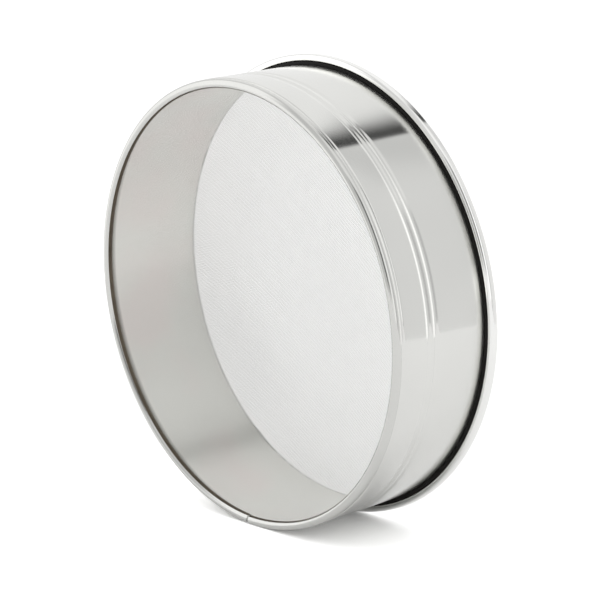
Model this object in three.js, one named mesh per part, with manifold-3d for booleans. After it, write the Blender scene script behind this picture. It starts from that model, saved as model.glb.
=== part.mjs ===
// A drum sieve (tamis) for flour, sugar and purees, lying on its wide rim.
// Millimetres, +Z up. The origin is the centre of the ring that it rests on.
// The drum is one band of stainless sheet. Its top edge is rolled inwards over a wire, and two grooves
// stiffen its outer face. The woven cloth lies on the flange of a wider hoop at the foot, and a black
// rubber ring, wedged between the drum and the leg of the hoop, holds drum, cloth and hoop together.
import * as THREE from 'three';
import { mergeVertices } from 'three/addons/utils/BufferGeometryUtils.js';
import Module from 'manifold-3d';

const wasm = await Module();
wasm.setup();

// Facets
const ringSegments = 56;
const beadSteps = 12;
const curlSteps = 8;
const cornerSteps = 3;
const grooveSteps = 5;

// Fits
const fitGap = 0.3;
const cutOverrun = 0.1;

// Drum wall
const drumDiameter = 250;
const drumHeight = 68.8;
const wallSheet = 0.8;

// Rolled top rim, with the wire inside it
const beadDiameter = 5;
const beadInset = 0.2;
const beadStartDegrees = -28;
const beadEndDegrees = 295;
const shoulderDrop = 3.4;
const shoulderRadius = 1.5;
const shoulderDegrees = 45;
const seamWidth = 0.9;
const seamDegrees = 86.9;

// Rolled grooves in the outer face
const grooveCount = 2;
const groovePitch = 5;
const grooveDepth = 0.5;
const grooveDrop = 20.1;

// Hoop round the foot
const hoopSheet = 0.6;
const hoopHeight = 6.9;
const channelWidth = 2;
const hoopBeadWidth = 3.9;
const hoopBeadLift = 1.3;
const hoopCurlEndDegrees = -110;
const hoopBendRadius = 0.9;

// Rubber ring in the channel
const sealCornerRadius = 0.5;

// Woven cloth, with its wires drawn thicker and further apart than those of a real sieve cloth
const clothWire = 0.5;
const clothWireCount = 17;
const clothTuck = 1.5;
const warpDegrees = 148;

// Places that follow from the sizes above
const wallOuter = drumDiameter / 2;
const wallInner = wallOuter - wallSheet;
const beadRadius = beadDiameter / 2;
const beadCentreRadius = wallOuter - beadInset - beadRadius;
const beadCentreHeight = drumHeight - beadRadius;
const clothLift = clothWire / 2 + fitGap / 2;
const clothHeight = hoopSheet + fitGap + clothWire / 2 + clothLift;
const wallFoot = clothHeight + clothLift + clothWire / 2 + fitGap;
const clothRadius = wallOuter + clothTuck;
const clothPitch = (2 * clothRadius) / (clothWireCount + 1);
const legInner = wallOuter + channelWidth;
const legOuter = legInner + hoopSheet;

const stainless = { color: 0xd2d2ce, roughness: 0.22, metalness: 1 };
const stainlessWire = { color: 0xdadad8, roughness: 0.4, metalness: 1 };
const blackRubber = { color: 0x16140f, roughness: 0.7, metalness: 0 };

function radians(degrees) {
  return THREE.MathUtils.degToRad(degrees);
}

// Points of an arc in a ring's section: x is the radius from the drum's axis, y the height
function arc(x, y, radius, fromDegrees, toDegrees, steps) {
  return Array.from({ length: steps + 1 }, (unused, step) => {
    const angle = radians(fromDegrees + ((toDegrees - fromDegrees) * step) / steps);
    return new THREE.Vector2(x + radius * Math.cos(angle), y + radius * Math.sin(angle));
  });
}

// A closed section, listed anticlockwise, turned round the drum's axis
function ring(section) {
  const geometry = new THREE.LatheGeometry([...section, section[0].clone()], ringSegments);
  return geometry.rotateX(Math.PI / 2);
}

function solid(geometry) {
  const bare = geometry.clone();
  bare.deleteAttribute('normal');
  bare.deleteAttribute('uv');
  const merged = mergeVertices(bare);
  const vertProperties = new Float32Array(merged.attributes.position.array);
  const triVerts = new Uint32Array(merged.index.array);
  return new wasm.Manifold(new wasm.Mesh({ numProp: 3, vertProperties, triVerts }));
}

function cutAway(geometry, cutter) {
  const mesh = solid(geometry).subtract(solid(cutter)).getMesh();
  const result = new THREE.BufferGeometry();
  result.setAttribute('position', new THREE.BufferAttribute(mesh.vertProperties, mesh.numProp));
  result.setIndex(new THREE.BufferAttribute(mesh.triVerts, 1));
  result.computeVertexNormals();
  return result;
}

// The grooves are one smooth wave, pressed into the outer face only
function grooveLine() {
  const top = drumHeight - grooveDrop;
  const length = grooveCount * groovePitch;
  const steps = grooveCount * grooveSteps;
  return Array.from({ length: steps + 1 }, (unused, step) => {
    const along = step / steps;
    const depth = (grooveDepth * (1 - Math.cos(2 * Math.PI * grooveCount * along))) / 2;
    return new THREE.Vector2(wallOuter - depth, top - length * (1 - along));
  });
}

// Up the outer face, through the grooves, round the bead and down the inner face
function drumWall() {
  const shoulderHeight = beadCentreHeight - shoulderDrop;
  const shoulderCentre = wallOuter - shoulderRadius;
  const curlRadius = beadRadius - wallSheet;
  const insideShoulder = shoulderRadius - wallSheet;
  const section = [
    new THREE.Vector2(wallOuter, wallFoot),
    ...grooveLine(),
    ...arc(shoulderCentre, shoulderHeight, shoulderRadius, 0, shoulderDegrees, cornerSteps),
    ...arc(beadCentreRadius, beadCentreHeight, beadRadius, beadStartDegrees, beadEndDegrees, beadSteps),
    ...arc(beadCentreRadius, beadCentreHeight, curlRadius, beadEndDegrees, beadStartDegrees, curlSteps),
    ...arc(shoulderCentre, shoulderHeight, insideShoulder, shoulderDegrees, 0, cornerSteps),
    new THREE.Vector2(wallInner, wallFoot),
  ];
  return cutAway(ring(section), seamCutter());
}

// The narrow gap where the two ends of the rolled bead meet
function seamCutter() {
  const cutter = new THREE.CylinderGeometry(
    beadRadius + cutOverrun, beadRadius + cutOverrun, seamWidth, beadSteps);
  cutter.translate(beadCentreRadius, 0, beadCentreHeight);
  return cutter.rotateZ(radians(seamDegrees));
}

// The wire that the top edge is rolled over
function topRimWire() {
  const radius = beadRadius - wallSheet - fitGap;
  return ring(arc(beadCentreRadius, beadCentreHeight, radius, 0, 360, curlSteps).slice(1));
}

// Flange under the cloth, leg outside the rubber, and the top edge rolled outwards into a flat bead
function meshHoop() {
  const outside = hoopBeadWidth / 2;
  const inside = outside - hoopSheet;
  const beadCentre = legInner + outside;
  const upper = hoopHeight - outside;
  const lower = hoopBeadLift + outside;
  const bendCentre = legOuter - hoopBendRadius;
  const insideBend = hoopBendRadius - hoopSheet;
  return ring([
    new THREE.Vector2(wallInner, 0),
    ...arc(bendCentre, hoopBendRadius, hoopBendRadius, -90, 0, cornerSteps),
    ...arc(beadCentre, upper, inside, 180, 0, curlSteps / 2),
    ...arc(beadCentre, lower, inside, 0, hoopCurlEndDegrees, curlSteps / 2),
    ...arc(beadCentre, lower, outside, hoopCurlEndDegrees, 0, curlSteps / 2),
    ...arc(beadCentre, upper, outside, 0, 180, beadSteps / 2),
    ...arc(bendCentre, hoopBendRadius, insideBend, 0, -90, cornerSteps),
    new THREE.Vector2(wallInner, hoopSheet),
  ]);
}

// The rubber ring reaches up to the crest of the hoop, with its top corners rounded
function sealRing() {
  const inner = wallOuter + fitGap;
  const outer = legInner - fitGap;
  const shoulder = hoopHeight - sealCornerRadius;
  return ring([
    new THREE.Vector2(inner, wallFoot),
    new THREE.Vector2(outer, wallFoot),
    ...arc(outer - sealCornerRadius, shoulder, sealCornerRadius, 0, 90, cornerSteps),
    ...arc(inner + sealCornerRadius, shoulder, sealCornerRadius, 90, 180, cornerSteps),
  ]);
}

// Height of a wire above the middle of the cloth. It is at its highest or lowest where it crosses the
// wires of the other set, and straight between.
function weaveHeight(along, side) {
  const crossing = Math.floor(along / clothPitch);
  const share = along / clothPitch - crossing;
  const start = crossing % 2 === 0 ? side : -side;
  return clothLift * start * (1 - 2 * share);
}

// One square wire along X at the distance across from the middle, cut to the round edge of the cloth
function clothWireGeometry(across, side) {
  const reach = Math.sqrt(clothRadius ** 2 - across ** 2);
  const crossings = Math.floor(reach / clothPitch);
  const stations = [-reach];
  for (let crossing = -crossings; crossing <= crossings; crossing += 1) {
    stations.push(crossing * clothPitch);
  }
  stations.push(reach);

  const half = clothWire / 2;
  const corners = [[-half, -half], [half, -half], [half, half], [-half, half]];
  const positions = [];
  for (const along of stations) {
    for (const [sideways, up] of corners) {
      positions.push(along, across + sideways, clothHeight + weaveHeight(along, side) + up);
    }
  }
  const sides = corners.length;
  const last = (stations.length - 1) * sides;
  const indices = [0, 3, 2, 0, 2, 1, last, last + 1, last + 2, last, last + 2, last + 3];
  for (let station = 0; station < stations.length - 1; station += 1) {
    for (let corner = 0; corner < sides; corner += 1) {
      const here = station * sides + corner;
      const beside = station * sides + ((corner + 1) % sides);
      indices.push(here, beside, beside + sides, here, beside + sides, here + sides);
    }
  }
  const geometry = new THREE.BufferGeometry();
  geometry.setAttribute('position', new THREE.Float32BufferAttribute(positions, 3));
  geometry.setIndex(indices);
  geometry.computeVertexNormals();
  return geometry;
}

function piece(name, geometry, finish) {
  const mesh = new THREE.Mesh(geometry, new THREE.MeshStandardMaterial(finish));
  mesh.name = name;
  return mesh;
}

// All wires of one direction. The two sets pass over and under each other at every crossing, so the
// weft starts on the other side of the cloth.
function wireSet(name, degrees, firstSide) {
  const set = new THREE.Group();
  const reach = (clothWireCount - 1) / 2;
  for (let wire = -reach; wire <= reach; wire += 1) {
    const side = wire % 2 === 0 ? firstSide : -firstSide;
    set.add(piece(`${name}_${wire + reach + 1}`, clothWireGeometry(wire * clothPitch, side), stainlessWire));
  }
  set.rotation.z = radians(degrees);
  return set;
}

const drumSieve = new THREE.Group();
drumSieve.add(
  piece('drum_wall', drumWall(), stainless),
  piece('top_rim_wire', topRimWire(), stainlessWire),
  wireSet('warp_wire', warpDegrees, 1),
  wireSet('weft_wire', warpDegrees + 90, -1),
  piece('seal_ring', sealRing(), blackRubber),
  piece('mesh_hoop', meshHoop(), stainless),
);

export default drumSieve;
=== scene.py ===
import math
import random

import bmesh
import bpy
from mathutils import Matrix, Vector


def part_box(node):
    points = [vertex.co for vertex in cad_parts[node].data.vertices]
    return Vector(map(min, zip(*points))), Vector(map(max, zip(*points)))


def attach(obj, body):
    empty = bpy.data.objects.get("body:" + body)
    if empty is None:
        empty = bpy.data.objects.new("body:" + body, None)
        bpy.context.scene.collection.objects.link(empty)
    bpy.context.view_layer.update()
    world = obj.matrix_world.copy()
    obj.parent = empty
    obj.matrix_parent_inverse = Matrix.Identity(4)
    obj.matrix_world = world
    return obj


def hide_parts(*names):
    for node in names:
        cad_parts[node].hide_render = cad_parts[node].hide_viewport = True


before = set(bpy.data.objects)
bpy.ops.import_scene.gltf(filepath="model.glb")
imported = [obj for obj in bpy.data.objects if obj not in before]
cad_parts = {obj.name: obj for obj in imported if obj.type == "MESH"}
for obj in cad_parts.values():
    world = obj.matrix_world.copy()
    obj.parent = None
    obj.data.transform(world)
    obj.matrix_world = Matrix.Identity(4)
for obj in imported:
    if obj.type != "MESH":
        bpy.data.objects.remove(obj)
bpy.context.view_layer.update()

mm = 0.001

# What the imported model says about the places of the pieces, in metres
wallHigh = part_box("drum_wall")[1]
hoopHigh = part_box("mesh_hoop")[1]
warpLow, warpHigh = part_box("warp_wire_9")
weftLow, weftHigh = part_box("weft_wire_9")
wallOuter = wallHigh.x
drumHeight = wallHigh.z
hoopHeight = hoopHigh.z
clothMiddle = (min(warpLow.z, weftLow.z) + max(warpHigh.z, weftHigh.z)) / 2
print(f"frame: drum {2 * wallOuter / mm:.1f} mm across and {drumHeight / mm:.1f} mm high")


def addNode(tree, kind, settings=None, links=None):
    node = tree.nodes.new(kind)
    for name, value in (settings or {}).items():
        if isinstance(name, int) or name in node.inputs:
            node.inputs[name].default_value = value
        else:
            setattr(node, name, value)
    for name, source in (links or {}).items():
        tree.links.new(source, node.inputs[name])
    return node


def srgb(code):
    parts = [int(code[place:place + 2], 16) / 255 for place in (1, 3, 5)]
    linear = [part / 12.92 if part <= 0.04045 else ((part + 0.055) / 1.055) ** 2.4 for part in parts]
    return (*linear, 1)


def arcPoints(x, z, radius, fromDegrees, toDegrees, steps):
    sweep = toDegrees - fromDegrees
    turns = [math.radians(fromDegrees + sweep * step / steps) for step in range(steps + 1)]
    return [(x + radius * math.cos(turn), z + radius * math.sin(turn)) for turn in turns]


# A closed section (radius, height), listed anticlockwise, turned round the drum's axis. Each zone gives the
# faces from one point of the section to another a material of their own.
def turnedMesh(section, angles, zones=()):
    mesh = bmesh.new()
    rings = []
    for angle in angles:
        places = [(radius * math.cos(angle), radius * math.sin(angle), height) for radius, height in section]
        rings.append([mesh.verts.new(place) for place in places])
    count = len(section)
    for here, ring in enumerate(rings):
        beside = rings[(here + 1) % len(rings)]
        for point in range(count):
            after = (point + 1) % count
            face = mesh.faces.new((ring[point], beside[point], beside[after], ring[after]))
            found = [index for start, end, index in zones if start <= point < end]
            face.material_index = found[0] if found else 0
    return mesh, rings


def finishedPiece(name, mesh, materials, sharpDegrees=35):
    for face in mesh.faces:
        face.smooth = True
    mesh.normal_update()
    for edge in mesh.edges:
        edge.smooth = edge.calc_face_angle(math.pi) < math.radians(sharpDegrees)
    data = bpy.data.meshes.new(name)
    mesh.to_mesh(data)
    mesh.free()
    for material in materials:
        data.materials.append(material)
    piece = bpy.data.objects.new(name, data)
    bpy.context.scene.collection.objects.link(piece)
    return piece


# Polished stainless sheet. The polishing lines run round the drum, so what the sheet mirrors is smeared
# along its height and stays sharp the other way. The hoop's copy is painted lighter than the wall, a painted
# highlight, and the rolled rim's copy is painted darker, painted shade.
polish = {
    "wallDarker": "#D8D8D5",
    "wallLighter": "#E2E2DF",
    # The hoop's tones are painted lighter than the wall's (painted highlight), the rim's darker (painted
    # shade)
    "litHoopDarker": "#ECECEA",
    "litHoopLighter": "#F4F4F2",
    "shadedRimDarker": "#CDCDCA",
    "shadedRimLighter": "#D9D9D6",
    "roughness": 0.13,
    "roughnessShares": (0.85, 1.15),
    "stretch": 1,
    "stretchTurn": 0.25,
    "lineWidth": 0.6 * mm,
    "lineStretch": 0.04,
    "lineDepth": 0.002 * mm,
    "waveWidth": 45 * mm,
    "waveDepth": 0.02 * mm,
}


def polishedStainless(name, darker, lighter):
    material = bpy.data.materials.new(name)
    material.use_nodes = True
    tree = material.node_tree
    surface = tree.nodes["Principled BSDF"]
    surface.inputs["Metallic"].default_value = 1
    surface.inputs["Anisotropic"].default_value = polish["stretch"]
    surface.inputs["Anisotropic Rotation"].default_value = polish["stretchTurn"]
    way = addNode(tree, "ShaderNodeTangent", {"direction_type": "RADIAL", "axis": "Z"})
    tree.links.new(way.outputs[0], surface.inputs["Tangent"])
    place = addNode(tree, "ShaderNodeTexCoord")
    along = addNode(tree, "ShaderNodeMapping", {"Scale": (polish["lineStretch"], polish["lineStretch"], 1)},
                    {"Vector": place.outputs["Object"]})
    lines = addNode(tree, "ShaderNodeTexNoise", {"Scale": 1 / polish["lineWidth"], "Detail": 3},
                    {"Vector": along.outputs[0]})
    waves = addNode(tree, "ShaderNodeTexNoise", {"Scale": 1 / polish["waveWidth"], "Detail": 1},
                    {"Vector": place.outputs["Object"]})
    grey = addNode(tree, "ShaderNodeMixRGB", {"Color1": srgb(darker), "Color2": srgb(lighter)},
                   {"Fac": waves.outputs["Fac"]})
    smoothest, roughest = [polish["roughness"] * share for share in polish["roughnessShares"]]
    rough = addNode(tree, "ShaderNodeMapRange", {"To Min": smoothest, "To Max": roughest},
                    {"Value": lines.outputs["Fac"]})
    waveBump = addNode(tree, "ShaderNodeBump", {"Distance": polish["waveDepth"]},
                       {"Height": waves.outputs["Fac"]})
    lineBump = addNode(tree, "ShaderNodeBump", {"Distance": polish["lineDepth"]},
                       {"Height": lines.outputs["Fac"], "Normal": waveBump.outputs[0]})
    tree.links.new(grey.outputs[0], surface.inputs["Base Color"])
    tree.links.new(rough.outputs[0], surface.inputs["Roughness"])
    tree.links.new(lineBump.outputs[0], surface.inputs["Normal"])
    return material


# Satin stainless: the mill finish inside the drum, with faint streaks along its height and warmer patches.
# It has painted shade in a strip just under the roll, darkest next to the roll.
satin = {
    "colour": "#E5E5E1",
    "warmColour": "#E6E1DE",
    "warmShares": (0.45, 0.65),
    "roughness": 0.23,
    "roughnessShares": (0.75, 1.3),
    "paintedShadeColour": "#75726B",
    "shadeFrom": 9.6 * mm,
    "shadeTo": 6.4 * mm,
    "streakWidth": 2.5 * mm,
    "streakStretch": 0.04,
    "streakDepth": 0.004 * mm,
    "patchWidth": 60 * mm,
}


def satinStainless():
    material = bpy.data.materials.new("satin stainless sheet")
    material.use_nodes = True
    tree = material.node_tree
    surface = tree.nodes["Principled BSDF"]
    surface.inputs["Metallic"].default_value = 1
    place = addNode(tree, "ShaderNodeTexCoord")
    along = addNode(tree, "ShaderNodeMapping", {"Scale": (1, 1, satin["streakStretch"])},
                    {"Vector": place.outputs["Object"]})
    streaks = addNode(tree, "ShaderNodeTexNoise", {"Scale": 1 / satin["streakWidth"], "Detail": 3},
                      {"Vector": along.outputs[0]})
    patches = addNode(tree, "ShaderNodeTexNoise", {"Scale": 1 / satin["patchWidth"], "Detail": 2},
                      {"Vector": place.outputs["Object"]})
    warm = addNode(tree, "ShaderNodeMapRange",
                   {"From Min": satin["warmShares"][0], "From Max": satin["warmShares"][1]},
                   {"Value": patches.outputs["Fac"]})
    colour = addNode(tree, "ShaderNodeMixRGB",
                     {"Color1": srgb(satin["colour"]), "Color2": srgb(satin["warmColour"])},
                     {"Fac": warm.outputs[0]})
    # Painted shade under the roll: the colour darkens towards the roll over this strip
    height = addNode(tree, "ShaderNodeSeparateXYZ", None, {0: place.outputs["Object"]})
    shadeLow, shadeHigh = drumHeight - satin["shadeFrom"], drumHeight - satin["shadeTo"]
    rollShadeMask = addNode(tree, "ShaderNodeMapRange", {"From Min": shadeLow, "From Max": shadeHigh},
                    {"Value": height.outputs["Z"]})
    colour = addNode(tree, "ShaderNodeMixRGB", {"Color2": srgb(satin["paintedShadeColour"])},
                     {"Fac": rollShadeMask.outputs[0], "Color1": colour.outputs[0]})
    smoothest, roughest = [satin["roughness"] * share for share in satin["roughnessShares"]]
    rough = addNode(tree, "ShaderNodeMapRange", {"To Min": smoothest, "To Max": roughest},
                    {"Value": streaks.outputs["Fac"]})
    bump = addNode(tree, "ShaderNodeBump", {"Distance": satin["streakDepth"]},
                   {"Height": streaks.outputs["Fac"]})
    tree.links.new(colour.outputs[0], surface.inputs["Base Color"])
    tree.links.new(rough.outputs[0], surface.inputs["Roughness"])
    tree.links.new(bump.outputs[0], surface.inputs["Normal"])
    return material


# Painted shade on the lower side of the roll: a rough brown-grey steel, which makes the dark line inside
# the rim
shade = {"darker": "#585148", "lighter": "#736A5E", "roughness": 0.5, "patchWidth": 12 * mm}


def paintedRollShade():
    material = bpy.data.materials.new("stainless sheet with painted shade under the roll")
    material.use_nodes = True
    tree = material.node_tree
    surface = tree.nodes["Principled BSDF"]
    surface.inputs["Metallic"].default_value = 1
    surface.inputs["Roughness"].default_value = shade["roughness"]
    place = addNode(tree, "ShaderNodeTexCoord")
    patches = addNode(tree, "ShaderNodeTexNoise", {"Scale": 1 / shade["patchWidth"], "Detail": 3},
                      {"Vector": place.outputs["Object"]})
    colour = addNode(tree, "ShaderNodeMixRGB",
                     {"Color1": srgb(shade["darker"]), "Color2": srgb(shade["lighter"])},
                     {"Fac": patches.outputs["Fac"]})
    tree.links.new(colour.outputs[0], surface.inputs["Base Color"])
    return material


# Drawn stainless wire: less glossy than the sheet, so the cloth reads as an even pale grey
wire = {"darker": "#F0F0EE", "lighter": "#F8F8F6", "roughness": 0.35, "markWidth": 9 * mm}


def drawnStainless():
    material = bpy.data.materials.new("drawn stainless wire")
    material.use_nodes = True
    tree = material.node_tree
    surface = tree.nodes["Principled BSDF"]
    surface.inputs["Metallic"].default_value = 1
    surface.inputs["Roughness"].default_value = wire["roughness"]
    place = addNode(tree, "ShaderNodeTexCoord")
    marks = addNode(tree, "ShaderNodeTexNoise", {"Scale": 1 / wire["markWidth"], "Detail": 2},
                    {"Vector": place.outputs["Object"]})
    colour = addNode(tree, "ShaderNodeMixRGB",
                     {"Color1": srgb(wire["darker"]), "Color2": srgb(wire["lighter"])},
                     {"Fac": marks.outputs["Fac"]})
    tree.links.new(colour.outputs[0], surface.inputs["Base Color"])
    return material


# Black rubber: a matt moulded strip with a fine grain, which gives hardly any gloss
rubber = {
    "darker": "#0D0C0A",
    "lighter": "#171512",
    "roughness": 0.6,
    "gloss": 0.2,
    "grainWidth": 0.8 * mm,
    "grainDepth": 0.03 * mm,
}


def mouldedRubber():
    material = bpy.data.materials.new("moulded black rubber")
    material.use_nodes = True
    tree = material.node_tree
    surface = tree.nodes["Principled BSDF"]
    surface.inputs["Roughness"].default_value = rubber["roughness"]
    surface.inputs["Specular IOR Level"].default_value = rubber["gloss"]
    place = addNode(tree, "ShaderNodeTexCoord")
    grain = addNode(tree, "ShaderNodeTexNoise", {"Scale": 1 / rubber["grainWidth"], "Detail": 3},
                    {"Vector": place.outputs["Object"]})
    colour = addNode(tree, "ShaderNodeMixRGB",
                     {"Color1": srgb(rubber["darker"]), "Color2": srgb(rubber["lighter"])},
                     {"Fac": grain.outputs["Fac"]})
    bump = addNode(tree, "ShaderNodeBump", {"Distance": rubber["grainDepth"]},
                   {"Height": grain.outputs["Fac"]})
    tree.links.new(colour.outputs[0], surface.inputs["Base Color"])
    tree.links.new(bump.outputs[0], surface.inputs["Normal"])
    return material


polishedSteel = polishedStainless("polished stainless sheet", polish["wallDarker"], polish["wallLighter"])
# The same polished steel twice more: painted lighter for the hoop as a painted highlight, painted darker for
# the rim as painted shade
litHoopSteel = polishedStainless("polished stainless sheet painted lighter for the hoop", polish["litHoopDarker"], polish["litHoopLighter"])
shadedRimSteel = polishedStainless("polished stainless sheet painted darker for the rim", polish["shadedRimDarker"], polish["shadedRimLighter"])
satinSteel = satinStainless()
rollShadeSteel = paintedRollShade()
wireSteel = drawnStainless()
blackRubber = mouldedRubber()
print("materials: made")


# The drum wall, with its top edge rolled inwards over a wire
wallShape = {
    "sheet": 0.8 * mm,
    "bead": 5 * mm,
    "beadInset": 0.2 * mm,
    "beadFromDegrees": -28,
    "beadToDegrees": 295,
    "shoulderDrop": 3.4 * mm,
    "shoulderRadius": 1.5 * mm,
    "shoulderDegrees": 45,
    "grooves": 2,
    "groovePitch": 5 * mm,
    "grooveDepth": 0.5 * mm,
    "grooveDrop": 20.1 * mm,
    "seamDegrees": 86.9,
    "seamWidth": 0.9 * mm,
    "proud": 0.5 * mm,
    "proudDegrees": 16,
    # Where round the roll's section the painted shade lies, in degrees
    "rollShadeDegrees": (148, 255),
    "foot": 1 * mm,
    "segments": 360,
    "beadSteps": 40,
    "shoulderSteps": 8,
    "grooveSteps": 16,
}
wallInner = wallOuter - wallShape["sheet"]
beadRadius = wallShape["bead"] / 2
beadCentre = (wallOuter - wallShape["beadInset"] - beadRadius, drumHeight - beadRadius)


def grooveLine():
    top = drumHeight - wallShape["grooveDrop"]
    length = wallShape["grooves"] * wallShape["groovePitch"]
    steps = wallShape["grooves"] * wallShape["grooveSteps"]
    line = []
    for step in range(steps + 1):
        share = step / steps
        depth = wallShape["grooveDepth"] * (1 - math.cos(math.tau * wallShape["grooves"] * share)) / 2
        line.append((wallOuter - depth, top - length * (1 - share)))
    return line


def makeDrumWall():
    shape = wallShape
    shoulder = (wallOuter - shape["shoulderRadius"], beadCentre[1] - shape["shoulderDrop"])
    shoulderInside = shape["shoulderRadius"] - shape["sheet"]
    shoulderTo, shoulderSteps = shape["shoulderDegrees"], shape["shoulderSteps"]
    beadFrom, beadTo, beadSteps = shape["beadFromDegrees"], shape["beadToDegrees"], shape["beadSteps"]
    outside = [(wallOuter, shape["foot"])]
    outside += grooveLine()
    outside += arcPoints(*shoulder, shape["shoulderRadius"], 0, shoulderTo, shoulderSteps)
    slitFrom = len(outside)
    outside += arcPoints(*beadCentre, beadRadius, beadFrom, beadTo, beadSteps)
    inside = arcPoints(*beadCentre, beadRadius - shape["sheet"], beadTo, beadFrom, beadSteps)
    slitTo = len(outside) + len(inside) - 1
    inside += arcPoints(*shoulder, shoulderInside, shoulderTo, 0, shoulderSteps)
    inside += [(wallInner, shape["foot"])]
    section = outside + inside

    # The last number of a zone is the place of its finish in the list at the end: the rim, the stretch of
    # the roll with painted shade, and the satin inside
    # The stretch of the roll that takes the painted shade
    shadeZone = [round((degrees - beadFrom) / (beadTo - beadFrom) * beadSteps) + slitFrom
            for degrees in shape["rollShadeDegrees"]]
    zones = [(slitFrom, shadeZone[0], 3), (*shadeZone, 2), (slitTo, math.inf, 1)]

    # One narrow column of faces at the seam, where the two ends of the bead don't quite meet
    seam = math.radians(shape["seamDegrees"])
    half = shape["seamWidth"] / 2 / beadCentre[0]
    start, sweep = seam + half, math.tau - 2 * half
    angles = [start + sweep * step / shape["segments"] for step in range(shape["segments"] + 1)]
    mesh, rings = turnedMesh(section, angles, zones)
    firstEnd, lastEnd = rings[0][slitFrom:slitTo + 1], rings[-1][slitFrom:slitTo + 1]
    gone = [face for face in mesh.faces
            if sum(vert in face.verts for vert in firstEnd) == 2
            and sum(vert in face.verts for vert in lastEnd) == 2]
    bmesh.ops.delete(mesh, geom=gone, context="FACES_ONLY")
    mesh.faces.new(firstEnd[::-1])
    mesh.faces.new(lastEnd)
    mesh.faces.new((lastEnd[0], firstEnd[0], firstEnd[-1], lastEnd[-1]))

    # One end of the rolled rim stands a little proud of the other
    for ring, angle in zip(rings, angles):
        share = max(0, 1 - math.degrees(angle - angles[0]) / shape["proudDegrees"])
        for vert in ring[slitFrom:slitTo + 1]:
            vert.co += Vector((math.cos(angle), math.sin(angle), 0)) * shape["proud"] * share ** 2
    bmesh.ops.recalc_face_normals(mesh, faces=mesh.faces[:])
    return finishedPiece("drumWall", mesh, [polishedSteel, satinSteel, rollShadeSteel, shadedRimSteel])


drumWall = makeDrumWall()
print("drum wall: turned, with its seam")


# Evenly spaced angles for a ring without a seam
def roundAngles(segments):
    return [math.tau * step / segments for step in range(segments)]


# The wire that the top edge is rolled over. It shows only in the seam.
rimWireShape = {"gap": 0.1 * mm, "steps": 16, "segments": 240}


def makeRimWire():
    radius = beadRadius - wallShape["sheet"] - rimWireShape["gap"]
    section = arcPoints(*beadCentre, radius, 0, 360, rimWireShape["steps"])[1:]
    mesh = turnedMesh(section, roundAngles(rimWireShape["segments"]))[0]
    bmesh.ops.recalc_face_normals(mesh, faces=mesh.faces[:])
    return finishedPiece("rimWire", mesh, [wireSteel])


rimWire = makeRimWire()


# The hoop round the foot: a flange under the cloth, a leg, and a top edge rolled outwards into a flat bead
hoopShape = {
    "sheet": 0.6 * mm,
    "channel": 2 * mm,
    "beadWidth": 3.9 * mm,
    "beadLift": 1.3 * mm,
    "curlEndDegrees": -110,
    "bendRadius": 0.9 * mm,
    "segments": 360,
    "steps": 14,
}
legInner = wallOuter + hoopShape["channel"]
legOuter = legInner + hoopShape["sheet"]


def makeMeshHoop():
    shape = hoopShape
    outside = shape["beadWidth"] / 2
    inside = outside - shape["sheet"]
    beadMiddle = legInner + outside
    upper = hoopHeight - outside
    lower = shape["beadLift"] + outside
    bend = (legOuter - shape["bendRadius"], shape["bendRadius"])
    steps = shape["steps"]
    section = [(wallInner, 0)]
    section += arcPoints(*bend, shape["bendRadius"], -90, 0, steps)
    section += arcPoints(beadMiddle, upper, inside, 180, 0, steps)
    section += arcPoints(beadMiddle, lower, inside, 0, shape["curlEndDegrees"], steps)
    section += arcPoints(beadMiddle, lower, outside, shape["curlEndDegrees"], 0, steps)
    section += arcPoints(beadMiddle, upper, outside, 0, 180, steps)
    section += arcPoints(*bend, shape["bendRadius"] - shape["sheet"], 0, -90, steps)
    section += [(wallInner, shape["sheet"])]
    mesh = turnedMesh(section, roundAngles(shape["segments"]))[0]
    bmesh.ops.recalc_face_normals(mesh, faces=mesh.faces[:])
    return finishedPiece("meshHoop", mesh, [litHoopSteel])


meshHoop = makeMeshHoop()


# The rubber ring fills the channel between the wall and the leg of the hoop, up to just under its crest
sealShape = {
    "gap": 0.02 * mm,
    "foot": 2.2 * mm,
    "topDrop": 0.7 * mm,
    "corner": 0.5 * mm,
    "segments": 360,
    "steps": 6,
}


def makeSealRing():
    shape = sealShape
    inner, outer = wallOuter + shape["gap"], legInner - shape["gap"]
    shoulder = hoopHeight - shape["topDrop"] - shape["corner"]
    section = [(inner, shape["foot"]), (outer, shape["foot"])]
    section += arcPoints(outer - shape["corner"], shoulder, shape["corner"], 0, 90, shape["steps"])
    section += arcPoints(inner + shape["corner"], shoulder, shape["corner"], 90, 180, shape["steps"])
    mesh = turnedMesh(section, roundAngles(shape["segments"]))[0]
    bmesh.ops.recalc_face_normals(mesh, faces=mesh.faces[:])
    return finishedPiece("sealRing", mesh, [blackRubber])


sealRing = makeSealRing()
print("rim wire, hoop and rubber ring: turned")


# The woven cloth. A real sieve cloth of this kind has a wire every 0.5 mm or so, which the picture can't
# show, so the wires are drawn thicker and further apart. Their spacing varies a little, as on the real one.
clothShape = {
    "pitch": 1 * mm,
    "wire": 0.34 * mm,
    "warpDegrees": 148,
    "tuck": 1.5 * mm,
    "unevenShare": 0.05,
    "driftShare": 0.8,
    "seed": 11,
}
clothRadius = wallOuter + clothShape["tuck"]


# Places of the wires across the cloth, from its middle outwards
def wirePlaces(randomness):
    pitch = clothShape["pitch"]
    reach = int(clothRadius / pitch)
    places = []
    drift = 0
    for wireNumber in range(-reach, reach + 1):
        drift *= clothShape["driftShare"]
        drift += randomness.uniform(-1, 1) * clothShape["unevenShare"] * pitch
        places.append(wireNumber * pitch + drift)
    return [place for place in places if abs(place) < clothRadius - pitch]


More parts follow.
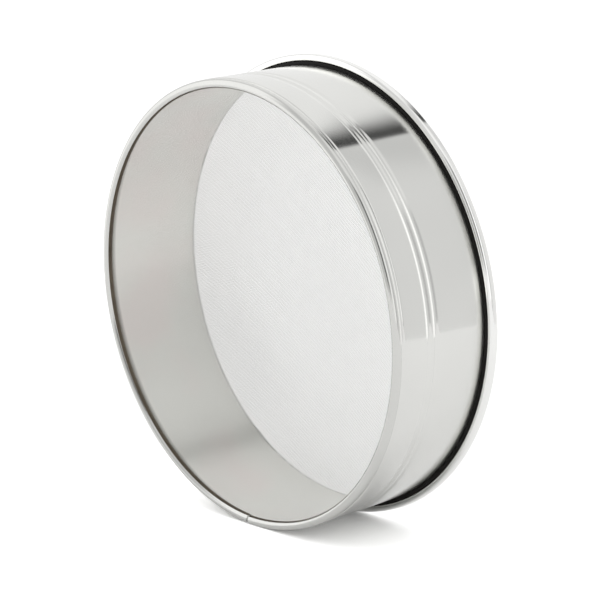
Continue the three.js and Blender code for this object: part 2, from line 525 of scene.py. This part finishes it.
# One set of wires, lying along X before it is turned. Each wire rises and sinks over the wires that it
# crosses, and has three sides, which is enough for one so thin.
def makeWireSet(name, places, crossed, degrees, firstSide):
    radius = clothShape["wire"] / 2
    turn = Matrix.Rotation(math.radians(degrees), 4, "Z")
    corners = arcPoints(0, 0, radius, 90, 330, 2)
    sides = len(corners)
    points, faces = [], []
    for number, across in enumerate(places):
        reach = math.sqrt(clothRadius ** 2 - across ** 2)
        stations = [(along, index) for index, along in enumerate(crossed) if abs(along) < reach - radius]
        start = len(points)
        for along, index in stations:
            side = firstSide if (number + index) % 2 == 0 else -firstSide
            for sideways, up in corners:
                place = Vector((along, across + sideways, clothMiddle + side * radius + up))
                points.append(turn @ place)
        for station in range(len(stations) - 1):
            for corner in range(sides):
                here = start + station * sides + corner
                beside = start + station * sides + (corner + 1) % sides
                faces.append((here, beside, beside + sides, here + sides))
        end = start + (len(stations) - 1) * sides
        faces.append([start + corner for corner in range(sides)][::-1])
        faces.append([end + corner for corner in range(sides)])
    data = bpy.data.meshes.new(name)
    data.from_pydata(points, [], faces)
    data.shade_smooth()
    data.materials.append(wireSteel)
    piece = bpy.data.objects.new(name, data)
    bpy.context.scene.collection.objects.link(piece)
    return piece


def makeCloth():
    randomness = random.Random(clothShape["seed"])
    warpPlaces, weftPlaces = wirePlaces(randomness), wirePlaces(randomness)
    degrees = clothShape["warpDegrees"]
    sets = []
    for name, places, crossed, turn, side in (
        ("warp", warpPlaces, weftPlaces, degrees, 1),
        ("weft", weftPlaces, warpPlaces, degrees + 90, -1),
    ):
        middle = len(places) // 2
        if name == "weft":
            crossed = [-place for place in crossed][::-1]
        sideOfB = side if middle % 2 == 0 else -side
        sets.append((name, makeWireSet(f"{name}WiresA", places[:middle], crossed, turn, side)))
        sets.append((name, makeWireSet(f"{name}WiresB", places[middle:], crossed, turn, sideOfB)))
    return sets


clothPieces = makeCloth()
print("cloth:", sum(len(piece.data.polygons) for kind, piece in clothPieces), "faces")


# The body that each piece rides on, the nodes that it stands for and the slot that it takes its finish from
for piece, node, slot in (
    (drumWall, "drum_wall", "stainless_sheet"),
    (rimWire, "top_rim_wire", "stainless_wire"),
    (meshHoop, "mesh_hoop", "stainless_sheet"),
    (sealRing, "seal_ring", "black_rubber"),
):
    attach(piece, "root")
    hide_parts(node)

for kind, piece in clothPieces:
    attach(piece, "root")
    nodes = sorted(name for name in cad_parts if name.startswith(f"{kind}_wire_"))
    middle = len(nodes) // 2
    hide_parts(*(nodes[:middle] if piece.name.endswith("A") else nodes[middle:]))


# The photograph's standpoint, in the drum's own frame: the drum stands on its edge there, so the floor is a
# plane that touches the hoop and the rolled rim on the +Y side
view = {
    "place": (-816.95 * mm, -229.79 * mm, 714.87 * mm),
    "forward": (0.74582, 0.21361, -0.63097),
    "right": (-0.65609, 0.07155, -0.75128),
    "focalPixels": 1962.54,
    "framePixels": 600,
    "sensor": 36,
    "seenFrom": 0.01,
    "seenTo": 50,
}


def makeCamera():
    data = bpy.data.cameras.new("camera")
    data.sensor_width = view["sensor"]
    data.lens = view["focalPixels"] / view["framePixels"] * view["sensor"]
    data.clip_start, data.clip_end = view["seenFrom"], view["seenTo"]
    forward = Vector(view["forward"]).normalized()
    right = Vector(view["right"]).normalized()
    up = right.cross(forward)
    camera = bpy.data.objects.new("camera", data)
    turn = Matrix((right, up, -forward)).transposed().to_4x4()
    camera.matrix_world = Matrix.Translation(view["place"]) @ turn
    bpy.context.scene.collection.objects.link(camera)
    bpy.context.scene.camera = camera


makeCamera()


# The white floor. The camera sees it at one brightness and the sheet mirrors it at another, and it can't be
# seen from behind. Its lengths are in metres.
floorShape = {
    "touchHeight": 2.5 * mm,
    "reachSide": 0.62,
    "reachFront": 0.9,
    "reachBack": 6,
    "near": 1.55,
    "far": 0.98,
    "nearFrom": 0.14,
    "farFrom": 0.34,
    "reflected": 0.84,
    "behind": (-0.03, 0.03),
    "glow": 0.05,
}
hoopTouch = Vector((0, hoopHigh.x, floorShape["touchHeight"]))
wallTouch = Vector((0, beadCentre[0] + beadRadius, beadCentre[1]))
floorAlong = (hoopTouch - wallTouch).normalized()
floorUp = Vector((1, 0, 0)).cross(floorAlong)
floorUp = floorUp if floorUp.y < 0 else -floorUp
toCamera = Vector(view["place"]) - hoopTouch
towards = (toCamera - toCamera.dot(floorUp) * floorUp).normalized()
rightward = floorUp.cross(towards)
print("floor: its way up is", [round(part, 4) for part in floorUp])


def makeFloor():
    corners = []
    for side, front in ((-1, -1), (1, -1), (1, 1), (-1, 1)):
        sideways = floorShape["reachSide"] * side
        forwards = floorShape["reachFront"] if front > 0 else -floorShape["reachBack"]
        corners.append(hoopTouch + rightward * sideways + towards * forwards)
    data = bpy.data.meshes.new("floor")
    data.from_pydata(corners, [], [(0, 1, 2, 3)])
    data.update()
    if data.polygons[0].normal.dot(floorUp) < 0:
        data.flip_normals()
    material = bpy.data.materials.new("white floor")
    material.use_nodes = True
    tree = material.node_tree
    tree.nodes.clear()
    output = addNode(tree, "ShaderNodeOutputMaterial")
    path = addNode(tree, "ShaderNodeLightPath")
    # Near the drum the floor is shown brighter, so that only the core of the shadow is dark
    place = addNode(tree, "ShaderNodeNewGeometry")
    apart = addNode(tree, "ShaderNodeVectorMath", {"operation": "DISTANCE", 1: hoopTouch},
                    {0: place.outputs["Position"]})
    shown = addNode(tree, "ShaderNodeMapRange",
                    {"interpolation_type": "SMOOTHSTEP",
                     "From Min": floorShape["nearFrom"], "From Max": floorShape["farFrom"],
                     "To Min": floorShape["near"], "To Max": floorShape["far"]},
                    {"Value": apart.outputs["Value"]})
    # But not behind the cloth, where it would glare through
    spot = addNode(tree, "ShaderNodeSeparateXYZ", None, {0: place.outputs["Position"]})
    shown = addNode(tree, "ShaderNodeMapRange",
                    {"interpolation_type": "SMOOTHSTEP",
                     "From Min": floorShape["behind"][0], "From Max": floorShape["behind"][1],
                     "To Min": floorShape["far"]},
                    {"Value": spot.outputs["Z"], "To Max": shown.outputs[0]})
    level = addNode(tree, "ShaderNodeMapRange", {"To Min": floorShape["reflected"]},
                    {"Value": path.outputs["Is Camera Ray"], "To Max": shown.outputs[0]})
    white = addNode(tree, "ShaderNodeCombineXYZ", None,
                    {"X": level.outputs[0], "Y": level.outputs[0], "Z": level.outputs[0]})
    matt = addNode(tree, "ShaderNodeBsdfDiffuse", None, {"Color": white.outputs[0]})
    glow = addNode(tree, "ShaderNodeEmission", {"Strength": floorShape["glow"]})
    paint = addNode(tree, "ShaderNodeAddShader", None, {0: matt.outputs[0], 1: glow.outputs[0]})
    clear = addNode(tree, "ShaderNodeBsdfTransparent")
    side = addNode(tree, "ShaderNodeNewGeometry")
    mix = addNode(tree, "ShaderNodeMixShader", None,
                  {"Fac": side.outputs["Backfacing"], 1: paint.outputs[0], 2: clear.outputs[0]})
    tree.links.new(mix.outputs[0], output.inputs["Surface"])
    data.materials.append(material)
    floor = bpy.data.objects.new("floor", data)
    bpy.context.scene.collection.objects.link(floor)


makeFloor()


# The room round the object, as the polished sheet shows it: white paper, with pale and bright cards at the
# sides, the dark of the room by the camera, and one dark gap high up behind to the right. In degrees, across
# is 0 towards the camera and grows to its right, and up is above the floor. Each edge has its own softness.
# A card with a lean shifts to the left by that share of the degrees by which it rises past a height.
room = {
    "paper": 1.03,
    "cards": [
        {"across": (-150, -26), "acrossSoft": (12, 6), "up": (-90, 76), "upSoft": (1, 8), "level": 0.74},
        {"across": (-132, -82), "acrossSoft": (6, 10), "up": (-60, 60), "upSoft": (6, 8), "level": 1.3},
        {"across": (12, 40), "acrossSoft": (4, 3), "up": (-20, 40), "upSoft": (8, 8), "level": 1.3},
        {"across": (41, 62), "acrossSoft": (3, 8), "up": (-90, 40), "upSoft": (1, 8), "level": 0.55},
        {"across": (62, 104), "acrossSoft": (8, 5), "up": (-90, 75), "upSoft": (1, 8), "level": 0.87},
        {"across": (104, 129), "acrossSoft": (5, 2), "up": (38, 75), "upSoft": (5, 8), "level": 0.72},
        {"across": (108, 150), "acrossSoft": (8, 8), "up": (-12, 26), "upSoft": (6, 6), "level": 1.5},
        {"across": (-24, 2), "acrossSoft": (5, 5), "up": (-2, 42), "upSoft": (5, 5), "level": 0.08},
        {"across": (125, 140), "acrossSoft": (1.5, 12), "up": (40, 110), "upSoft": (3, 3), "level": 0.04,
         "lean": (1.15, 53)},
    ],
    "seen": 1.13,
    "deepGain": 1.35,
    "deepFrom": 2.5,
    "lowLight": 0.45,
    "highLight": 1.4,
    "lightFrom": (5, 60),
}


# 1 between two limits of a value and 0 outside them, with a soft step of its own at each limit
def windowMask(tree, value, limits, soft):
    rise = addNode(tree, "ShaderNodeMapRange",
                   {"interpolation_type": "SMOOTHSTEP",
                    "From Min": limits[0] - soft[0], "From Max": limits[0] + soft[0]},
                   {"Value": value})
    fall = addNode(tree, "ShaderNodeMapRange",
                   {"interpolation_type": "SMOOTHSTEP",
                    "From Min": limits[1] - soft[1], "From Max": limits[1] + soft[1],
                    "To Min": 1, "To Max": 0},
                   {"Value": value})
    both = addNode(tree, "ShaderNodeMath", {"operation": "MULTIPLY"},
                   {0: rise.outputs[0], 1: fall.outputs[0]})
    return both.outputs[0]


def makeWorld():
    world = bpy.data.worlds.new("white room")
    bpy.context.scene.world = world
    world.use_nodes = True
    tree = world.node_tree
    background = tree.nodes["Background"]
    place = addNode(tree, "ShaderNodeTexCoord")
    parts = {}
    for name, axis in (("up", floorUp), ("towards", towards), ("right", rightward)):
        dot = addNode(tree, "ShaderNodeVectorMath", {"operation": "DOT_PRODUCT", 1: axis},
                      {0: place.outputs["Generated"]})
        parts[name] = dot.outputs["Value"]
    turn = addNode(tree, "ShaderNodeMath", {"operation": "ARCTAN2"},
                   {0: parts["right"], 1: parts["towards"]})
    rise = addNode(tree, "ShaderNodeMath", {"operation": "ARCSINE"}, {0: parts["up"]})
    across = addNode(tree, "ShaderNodeMath", {"operation": "DEGREES"}, {0: turn.outputs[0]}).outputs[0]
    up = addNode(tree, "ShaderNodeMath", {"operation": "DEGREES"}, {0: rise.outputs[0]}).outputs[0]
    level = addNode(tree, "ShaderNodeValue")
    level.outputs[0].default_value = room["paper"]
    level = level.outputs[0]
    for card in room["cards"]:
        lean, height = card.get("lean", (0, 0))
        leaned = addNode(tree, "ShaderNodeMath", {"operation": "MULTIPLY_ADD", 1: lean}, {0: up, 2: across})
        limits = [limit + lean * height for limit in card["across"]]
        wide = windowMask(tree, leaned.outputs[0], limits, card["acrossSoft"])
        tall = windowMask(tree, up, card["up"], card["upSoft"])
        mask = addNode(tree, "ShaderNodeMath", {"operation": "MULTIPLY"}, {0: wide, 1: tall})
        mixed = addNode(tree, "ShaderNodeMix", {3: card["level"]}, {0: mask.outputs[0], 2: level})
        level = mixed.outputs[0]
    path = addNode(tree, "ShaderNodeLightPath")
    # The floor is lit mostly from above, so the drum's shadow stays close to it
    light = addNode(tree, "ShaderNodeMapRange",
                    {"interpolation_type": "SMOOTHSTEP",
                     "From Min": room["lightFrom"][0], "From Max": room["lightFrom"][1],
                     "To Min": room["lowLight"], "To Max": room["highLight"]},
                    {"Value": up})
    # Light that takes several bounces to reach the camera, as inside the drum, is made brighter
    deep = addNode(tree, "ShaderNodeMath", {"operation": "GREATER_THAN", 1: room["deepFrom"]},
                   {0: path.outputs["Ray Depth"]})
    gain = addNode(tree, "ShaderNodeMapRange", {"To Min": 1, "To Max": room["deepGain"]},
                   {"Value": deep.outputs[0]})
    lit = addNode(tree, "ShaderNodeMath", {"operation": "MULTIPLY"}, {0: level, 1: gain.outputs[0]})
    soft = addNode(tree, "ShaderNodeMix", None,
                   {0: path.outputs["Is Diffuse Ray"], 2: lit.outputs[0], 3: light.outputs[0]})
    seen = addNode(tree, "ShaderNodeMix", {3: room["seen"]},
                   {0: path.outputs["Is Camera Ray"], 2: soft.outputs[0]})
    tree.links.new(seen.outputs[0], background.inputs["Strength"])
    background.inputs["Color"].default_value = (1, 1, 1, 1)


makeWorld()

bpy.context.scene.view_settings.view_transform = "Standard"
print("camera, floor and room: made")
